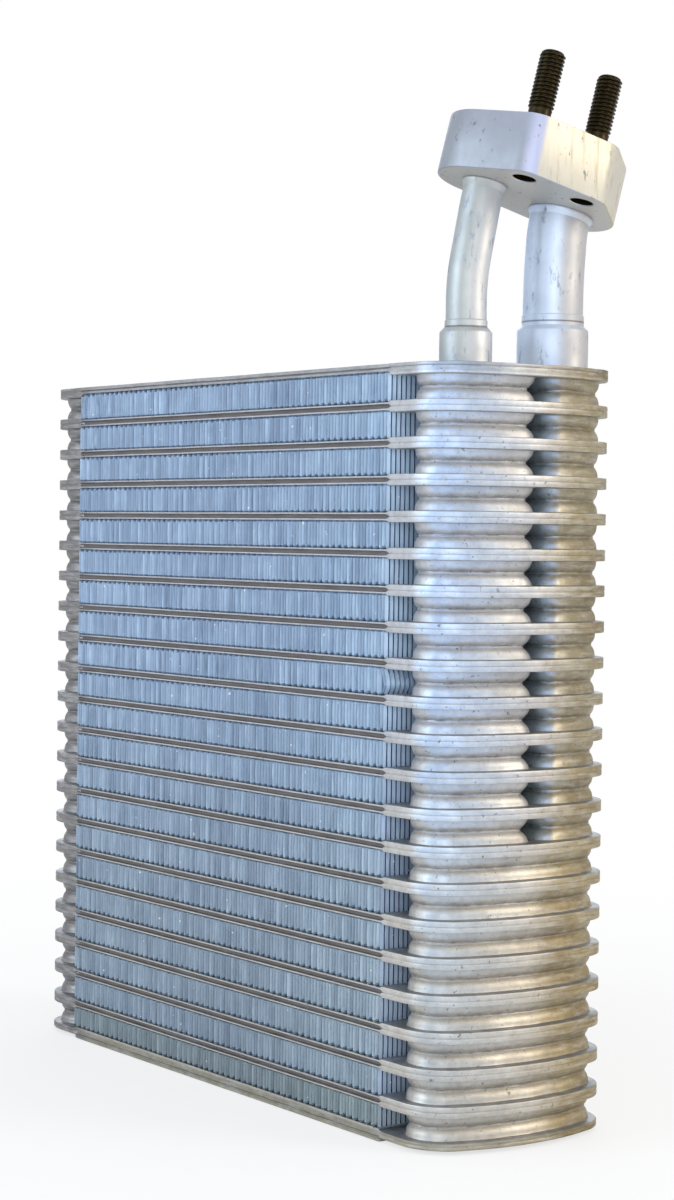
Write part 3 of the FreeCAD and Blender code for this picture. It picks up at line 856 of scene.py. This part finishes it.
def build_bottom_plates():
    """The stamped plate that closes the stack from below, and the flat end plate under the fins."""
    low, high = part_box("bottom_cup_plate")
    shell = Shell()
    plate_body(shell, BOTTOM_FIN_EDGE, BOTTOM_TANK_EDGE, low.z)
    add_cups(shell, low.z + BOTTOM_TANK_EDGE[0][1] * MM, high.z, False)
    shell.piece("stamped_bottom_plate", "bottom_cup_plate", "plate", "tank", bumpy=0.08 * MM)

    low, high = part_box("bottom_end_plate")
    shell = Shell()
    rows = []
    for inset, rise in ((0.2, 0.0), (0.0, 0.2), (0.0, 0.9), (0.2, 1.1)):
        x, y = high.x - inset * MM, high.y - inset * MM
        loop = rounded_loop([(a * x, b * y, 0.8 * MM) for a, b in ((-1, -1), (1, -1), (1, 1), (-1, 1))], 3)
        rows.append(shell.row([(point.x, point.y, low.z + rise * MM) for point in loop]))
    shell.stack(rows)
    shell.cap(rows[0], turned=True)
    shell.cap(rows[-1])
    shell.piece("flat_bottom_plate", "bottom_end_plate", "plate", "tank")


class EVAPORATOR_OT_end_plates(bpy.types.Operator):
    """Make the plates that close the stack at the top and the bottom"""

    bl_idname = "evaporator.end_plates"
    bl_label = "End plates"

    def execute(self, context):
        build_top_plates()
        build_bottom_plates()
        return {"FINISHED"}


GROUP_TURN = math.radians(-6.0)
GROUP_MIDDLE = Vector((109.1 * MM, -0.65 * MM, CORE_TOP))
BLOCK_TILT = math.radians(14.6)
BLOCK_OFFSET = 4.3 * MM
BLOCK_RISE = 52.65 * MM
PORT_SPACING = 14.75 * MM
FOOT_SPACING = 16.15 * MM
BEND_STEPS = 8
# for each pipe: side of the middle, socket's chamfer and fall, height of the knee, radius of bead and port
PIPES = {
    "small": (-1, 1.1 * MM, 1.4 * MM, 26.55 * MM, 7.2 * MM, 7.1 * MM),
    "large": (1, 2.3 * MM, 2.4 * MM, 27.55 * MM, 10.3 * MM, 10.3 * MM),
}


def group_frame():
    """Where the pipes stand: on the end plate, turned a little."""
    return Matrix.Translation(GROUP_MIDDLE) @ Matrix.Rotation(GROUP_TURN, 4, "Z")


def block_frame():
    """The block's underside, leaning with the pipes."""
    seat = Matrix.Translation(Vector((0, BLOCK_OFFSET, BLOCK_RISE)))
    return group_frame() @ seat @ Matrix.Rotation(-BLOCK_TILT, 4, "X")


def turned_row(shell, place, radius, height, steps=ROUND_STEPS):
    """A ring of points round the place's own Z."""
    return shell.row([place @ Vector((radius * x, radius * y, height)) for x, y in circle(steps)])


def lathe(shell, place, profile):
    """A turned surface from (radius, height) points."""
    shell.stack([turned_row(shell, place, radius, height) for radius, height in profile])


def build_socket(size):
    """A turned collar with a chamfered mouth round the pipe's foot."""
    side, chamfer, fall = PIPES[size][:3]
    low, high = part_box(size + "_socket")
    outer = (high.x - low.x) / 2
    height = high.z - low.z
    bore = getattr(fittings(), size + "_pipe") / 2
    profile = (
        (outer + 0.5 * MM, -0.02 * MM),
        (outer + 0.12 * MM, 0.25 * MM),
        (outer, 0.7 * MM),
        (outer * 1.004, height * 0.4),
        (outer, height - fall - 0.3 * MM),
        (outer - 0.12 * MM, height - fall),
        (outer - chamfer, height - 0.25 * MM),
        (outer - chamfer - 0.3 * MM, height),
        (bore + 0.15 * MM, height),
        (bore, height - 0.3 * MM),
        (bore, height * 0.5),
    )
    shell = Shell()
    lathe(shell, group_frame() @ Matrix.Translation((0, side * FOOT_SPACING, 0)), profile)
    shell.piece("turned_%s_socket" % size, size + "_socket", "socket", "pipe")


def pipe_line(side, knee_height, swollen):
    """Middle line of a pipe in the group's upright plane: straight foot, long lean, short neck."""
    foot = Vector((side * FOOT_SPACING, -1.0 * MM))
    knee = Vector((foot.x, knee_height))
    port = Vector((
        BLOCK_OFFSET + side * PORT_SPACING * math.cos(BLOCK_TILT),
        BLOCK_RISE - side * PORT_SPACING * math.sin(BLOCK_TILT),
    ))
    up = Vector((math.sin(BLOCK_TILT), math.cos(BLOCK_TILT)))
    neck = port - up * 5 * MM
    end = port + up * 8 * MM
    line = [foot, Vector((foot.x, swollen - 0.1 * MM)), Vector((foot.x, swollen + 0.15 * MM))]
    for before, corner, after, reach in ((foot, knee, neck, 7 * MM), (knee, neck, end, 5 * MM)):
        start = corner + (before - corner).normalized() * reach
        stop = corner + (after - corner).normalized() * min(reach, (after - corner).length * 0.6)
        for step in range(BEND_STEPS + 1):
            share = step / BEND_STEPS
            line.append(start.lerp(corner, share).lerp(corner.lerp(stop, share), share))
    return line + [neck.lerp(end, 0.7), end]


def build_pipe(size):
    """A bent tube, swollen where it stands in its socket, with a formed bead under the block."""
    sizes = fittings()
    side, _, _, knee_height, bead, _ = PIPES[size]
    radius = getattr(sizes, size + "_pipe") / 2
    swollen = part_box(size + "_socket")[1].z - CORE_TOP + 2.2 * MM
    line = pipe_line(side, knee_height, swollen)
    shell = Shell()
    outside, inside = [], []
    for number, point in enumerate(line):
        run = (line[min(number + 1, len(line) - 1)] - line[max(number - 1, 0)]).normalized()
        along, across = Vector((1, 0, 0)), Vector((0, run.y, -run.x))
        middle = Vector((0, point.x, point.y))
        swell = 0.3 * MM if point.y < swollen else 0.0
        for rows, reach in ((outside, radius + swell), (inside, radius - sizes.pipe_wall)):
            spots = [middle + along * x * reach + across * y * reach for x, y in circle()]
            rows.append(shell.row([group_frame() @ spot for spot in spots]))
    inside.reverse()
    shell.stack(outside + inside)
    shell.skin(inside[-1], outside[0])
    foot = radius - 0.2 * MM
    profile = [(foot, -2.6 * MM)]
    for share, height in ((0.1, -2.2), (0.4, -1.6), (0.8, -1.1), (1.0, -0.7), (1.0, -0.3)):
        profile.append((mix(radius, bead, share), height * MM))
    profile += [(bead - 0.25 * MM, 0.0), (foot, 0.0)]
    lathe(shell, block_frame() @ Matrix.Translation((0, side * PORT_SPACING, 0)), profile)
    turn_faces(shell.piece("bent_%s_pipe" % size, size + "_pipe", "pipe", "pipe"))


class EVAPORATOR_OT_pipes(bpy.types.Operator):
    """Make the two bent pipes and the sockets they stand in"""

    bl_idname = "evaporator.pipes"
    bl_label = "Pipes and sockets"

    def execute(self, context):
        for size in PIPES:
            build_socket(size)
            build_pipe(size)
        return {"FINISHED"}


BLOCK_CORNERS = ((0, -14.75, 15.2), (18.7, -12.6, 7.9), (18.7, 9.4, 7.9), (0, 14.75, 17.0))
STUD_SEATS = ((18.7, -12.6), (18.7, 9.4))
PORT_DEPTH = 8 * MM
PORT_EDGE = 0.7 * MM
STUD_BORE = 3.65 * MM
STUD_STEPS = 32
STUD_SHANK = 3.6 * MM
STUD_TOP = 22 * MM
THREAD_START = 2.9 * MM


def block_outline():
    """Arcs round the block's four corner circles, joined by straight sides."""
    rounds = [(Vector((x, y)) * MM, radius * MM) for x, y, radius in BLOCK_CORNERS]
    touches = []
    for number, (centre, radius) in enumerate(rounds):
        other, other_radius = rounds[(number + 1) % len(rounds)]
        run = other - centre
        touches.append(math.atan2(run.y, run.x) - math.acos((radius - other_radius) / run.length))
    loop = []
    for number, (centre, radius) in enumerate(rounds):
        first, last = touches[number - 1], touches[number]
        while last < first:
            last += 2 * math.pi
        steps = max(4, round((last - first) / math.radians(6)))
        for step in range(steps + 1):
            angle = mix(first, last, step / steps)
            loop.append(centre + Vector((math.cos(angle), math.sin(angle))) * radius)
    return loop


def fill_between(shell, outer, holes, place, height, turned=False):
    """A flat face inside an outline and outside its holes, at a height over a place."""
    work = bmesh.new()
    for loop in [outer] + holes:
        points = [work.verts.new((x, y, 0)) for x, y in loop]
        for number, point in enumerate(points):
            work.edges.new((points[number - 1], point))
    bmesh.ops.triangle_fill(work, use_beauty=True, edges=work.edges[:])
    work.verts.index_update()
    numbers = shell.row([place @ Vector((point.co.x, point.co.y, height)) for point in work.verts])
    for face in work.faces:
        order = [numbers[point.index] for point in face.verts]
        shell.cap(order, turned == (face.normal.z > 0))
    work.free()


def build_block():
    """The milled block with its ports above, pipe seats below and two stud holes."""
    sizes = fittings()
    tall, breaks = sizes.block_thickness, sizes.edge_break
    outline = block_outline()
    place = block_frame()
    shell = Shell()
    sides = ((breaks, 0.0), (breaks * 0.25, breaks * 0.25), (0.0, breaks), (0.0, tall - breaks),
             (breaks * 0.25, tall - breaks * 0.25), (breaks, tall))
    shell.stack([
        shell.row([place @ Vector((x, y, height)) for x, y in inset_loop(outline, inset)])
        for inset, height in sides
    ])
    holes = []
    for size, (side, *_, port) in PIPES.items():
        seat = getattr(sizes, size + "_pipe") / 2
        holes.append((Vector((0, side * PORT_SPACING)), (
            (port + PORT_EDGE, tall), (port, tall - PORT_EDGE), (port, PORT_DEPTH),
            (seat + 0.05 * MM, PORT_DEPTH), (seat + 0.1 * MM, 0.0),
        )))
    for x, y in STUD_SEATS:
        holes.append((Vector((x, y)) * MM, (
            (4.0 * MM, tall), (STUD_BORE, tall - 0.35 * MM), (STUD_BORE, 0.3 * MM), (3.9 * MM, 0.0),
        )))
    for centre, profile in holes:
        lathe(shell, place @ Matrix.Translation((centre.x, centre.y, 0)), profile)
    for height, end, turned in ((0.0, -1, True), (tall, 0, False)):
        mouths = [[centre + Vector(arm) * profile[end][0] for arm in circle()] for centre, profile in holes]
        fill_between(shell, inset_loop(outline, breaks), mouths, place, height, turned)
    back = place.inverted()

    # the walls of the stud holes take the dark stud finish: painted shade in the holes
    def in_shaded_stud_hole(spot):
        local = back @ spot
        near = min((local.xy - Vector(seat) * MM).length for seat in STUD_SEATS)
        return near < 3.85 * MM and 0.4 * MM < local.z < tall - 0.5 * MM

    shell.piece(
        "milled_block", "fitting_block", "block", "block", smooth=25, second="stud", where=in_shaded_stud_hole
    )


class EVAPORATOR_OT_block(bpy.types.Operator):
    """Make the milled fitting block"""

    bl_idname = "evaporator.block"
    bl_label = "Fitting block"

    def execute(self, context):
        build_block()
        return {"FINISHED"}


def add_stud(shell, place):
    """One stud: shank, helical thread and chamfered tip. Heights are from the block's top face."""
    sizes = fittings()
    outer = sizes.stud / 2
    root = outer - 0.61 * sizes.thread_pitch
    rows = [turned_row(shell, place, STUD_SHANK, height, STUD_STEPS) for height in (-12 * MM, 2.6 * MM)]
    height = THREAD_START
    while height < STUD_TOP - 0.3 * MM:
        fade = smooth_step(height, THREAD_START, 4.2 * MM)
        limit = outer - max(0.0, height - (STUD_TOP - 1.1 * MM)) * 0.9
        points = []
        for step, (x, y) in enumerate(circle(STUD_STEPS)):
            phase = (height / sizes.thread_pitch - step / STUD_STEPS) % 1.0
            crest = smooth_step(1 - abs(2 * phase - 1), 0.12, 0.88)
            reach = min(mix(STUD_SHANK, mix(root, outer, crest), fade), limit)
            points.append(place @ Vector((reach * x, reach * y, height)))
        rows.append(shell.row(points))
        height += sizes.thread_pitch / 8
    tip = min(outer - 1.0 * MM, root)
    for reach, level in ((tip, STUD_TOP - 0.12 * MM), (tip - 0.5 * MM, STUD_TOP)):
        rows.append(turned_row(shell, place, reach, level, STUD_STEPS))
    shell.stack(rows)
    shell.cap(rows[-1])
    shell.cap(rows[0], turned=True)


class EVAPORATOR_OT_studs(bpy.types.Operator):
    """Make the two threaded studs"""

    bl_idname = "evaporator.studs"
    bl_label = "Studs"

    def execute(self, context):
        shell = Shell()
        tall = context.scene.fitting_sizes.block_thickness
        for x, y in STUD_SEATS:
            add_stud(shell, block_frame() @ Matrix.Translation((x * MM, y * MM, tall)))
        shell.piece("threaded_studs", "studs", "stud", "stud", smooth=50)
        return {"FINISHED"}


CAMERA_PLACE = Vector((0.72218, -0.50243, 0.18910))
CAMERA_AIM = Vector((-0.81405, 0.58019, -0.02649))
CAMERA_ROLL = math.radians(0.765)
SENSOR_HEIGHT = 36
FOCAL_PIXELS = 2524.77
PICTURE_HEIGHT = 1200
FLOOR_LEVEL = -0.2 * MM


def floor_material(base):
    """Pale floor that the camera sees as white, with the shadow kept."""
    board = NodeBoard("pale floor", base)
    board.shader.inputs["Base Color"].default_value = (*base, 1)
    board.shader.inputs["Roughness"].default_value = 0.9
    board.shader.inputs["Specular IOR Level"].default_value = 0.0
    reach = board.add("ShaderNodeVectorMath", {0: board.place}, operation="LENGTH").outputs["Value"]
    links = {"Value": reach, "From Min": 0.12, "From Max": 0.60, "To Min": 0.70, "To Max": 1.0}
    fade = board.add("ShaderNodeMapRange", links, interpolation_type="SMOOTHSTEP").outputs[0]
    share = board.both(board.add("ShaderNodeLightPath").outputs["Is Camera Ray"], fade)
    glow = board.add("ShaderNodeEmission", {"Color": (1, 1, 1, 1), "Strength": 1.0})
    both = board.add("ShaderNodeMixShader", {0: share, 1: board.shader.outputs[0], 2: glow.outputs[0]})
    board.tree.links.new(both.outputs[0], board.tree.nodes["Material Output"].inputs["Surface"])
    return board.material


def build_floor():
    """Round floor that fades into the white surroundings."""
    shell = Shell()
    rows = [
        shell.row([(reach * x, -reach * y, FLOOR_LEVEL) for x, y in circle(64)])
        for reach in (0.3, 1.0, 2.5, 6.0)
    ]
    shell.stack(rows)
    shell.cap(rows[0], turned=True)
    floor = show("floor", shell.mesh("floor", floor_material(tuple(bpy.context.scene.core_colours.floor))))


def add_lamp(name, place, aim, size, power, tone):
    light = bpy.data.lights.new(name, "AREA")
    light.shape = "RECTANGLE"
    light.size, light.size_y = size
    light.energy = power
    light.color = tone
    lamp = show(name, light)
    lamp.location = place
    lamp.rotation_euler = (Vector(aim) - Vector(place)).to_track_quat("-Z", "Y").to_euler()


def build_camera():
    data = bpy.data.cameras.new("camera")
    data.sensor_fit = "VERTICAL"
    data.sensor_height = SENSOR_HEIGHT
    data.lens = SENSOR_HEIGHT * FOCAL_PIXELS / PICTURE_HEIGHT
    data.clip_start = 0.01
    camera = show("camera", data)
    back = -CAMERA_AIM.normalized()
    level = Vector((0, 0, 1)).cross(back).normalized()
    up = back.cross(level)
    across = level * math.cos(CAMERA_ROLL) + up * math.sin(CAMERA_ROLL)
    upright = up * math.cos(CAMERA_ROLL) - level * math.sin(CAMERA_ROLL)
    turned = Matrix((across, upright, back)).transposed().to_4x4()
    camera.matrix_world = Matrix.Translation(CAMERA_PLACE) @ turned
    bpy.context.scene.camera = camera


def build_world():
    """Even pale surroundings, seen as white by the camera."""
    world = bpy.data.worlds.new("studio")
    world.use_nodes = True
    tree = world.node_tree
    lit = tree.nodes["Background"]
    lit.inputs["Color"].default_value = (0.93, 0.95, 1.0, 1)
    lit.inputs["Strength"].default_value = 0.70
    seen = tree.nodes.new("ShaderNodeBackground")
    seen.inputs["Color"].default_value = (1, 1, 1, 1)
    path = tree.nodes.new("ShaderNodeLightPath")
    blend = tree.nodes.new("ShaderNodeMixShader")
    tree.links.new(path.outputs["Is Camera Ray"], blend.inputs["Fac"])
    tree.links.new(lit.outputs[0], blend.inputs[1])
    tree.links.new(seen.outputs[0], blend.inputs[2])
    tree.links.new(blend.outputs[0], tree.nodes["World Output"].inputs["Surface"])
    bpy.context.scene.world = world


class EVAPORATOR_OT_stage(bpy.types.Operator):
    """Set up the floor, the lamps and the camera"""

    bl_idname = "evaporator.stage"
    bl_label = "Floor, lamps and camera"

    def execute(self, context):
        build_floor()
        build_world()
        build_camera()
        middle = (0.02, 0, 0.14)
        add_lamp("window_lamp", (-0.35, -1.5, 0.6), middle, (1.0, 1.1), 13, (0.70, 0.85, 1.0))
        add_lamp("room_lamp", (1.3, -0.9, 0.5), middle, (1.0, 1.0), 6, (0.92, 0.96, 1.0))
        add_lamp("warm_lamp", (1.35, 0.95, 0.8), middle, (0.6, 0.8), 12, (1.0, 0.88, 0.68))
        add_lamp("top_lamp", (0.2, 0.1, 1.9), middle, (1.4, 1.4), 4, (1.0, 1.0, 1.0))
        add_lamp("back_lamp", (-1.5, 1.1, 0.6), middle, (1.2, 1.2), 8, (0.92, 0.96, 1.0))
        context.scene.view_settings.view_transform = "Standard"
        return {"FINISHED"}


class EVAPORATOR_PT_panel(bpy.types.Panel):
    """Sizes, colours and pieces of the evaporator core"""

    bl_idname = "EVAPORATOR_PT_panel"
    bl_label = "Evaporator core"
    bl_space_type = "VIEW_3D"
    bl_region_type = "UI"
    bl_category = "Evaporator core"

    def draw(self, context):
        for group in (context.scene.core_sizes, context.scene.fitting_sizes, context.scene.core_colours):
            box = self.layout.box()
            for name in group.__annotations__:
                box.prop(group, name)
        for operator in OPERATORS:
            self.layout.operator(operator.bl_idname)


GROUPS = {"core_sizes": CoreSizes, "fitting_sizes": FittingSizes, "core_colours": CoreColours}
OPERATORS = (
    EVAPORATOR_OT_tubes,
    EVAPORATOR_OT_fins,
    EVAPORATOR_OT_end_plates,
    EVAPORATOR_OT_pipes,
    EVAPORATOR_OT_block,
    EVAPORATOR_OT_studs,
    EVAPORATOR_OT_stage,
)


def register():
    for name, group in GROUPS.items():
        bpy.utils.register_class(group)
        setattr(bpy.types.Scene, name, PointerProperty(type=group))
    for operator in OPERATORS:
        bpy.utils.register_class(operator)
    bpy.utils.register_class(EVAPORATOR_PT_panel)


def unregister():
    bpy.utils.unregister_class(EVAPORATOR_PT_panel)
    for operator in reversed(OPERATORS):
        bpy.utils.unregister_class(operator)
    for name, group in GROUPS.items():
        delattr(bpy.types.Scene, name)
        bpy.utils.unregister_class(group)


def main():
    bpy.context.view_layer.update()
    register()
    bpy.ops.evaporator.tubes()
    bpy.ops.evaporator.fins()
    bpy.ops.evaporator.end_plates()
    bpy.ops.evaporator.pipes()
    bpy.ops.evaporator.block()
    bpy.ops.evaporator.studs()
    bpy.ops.evaporator.stage()


if __name__ == "__main__":
    main()
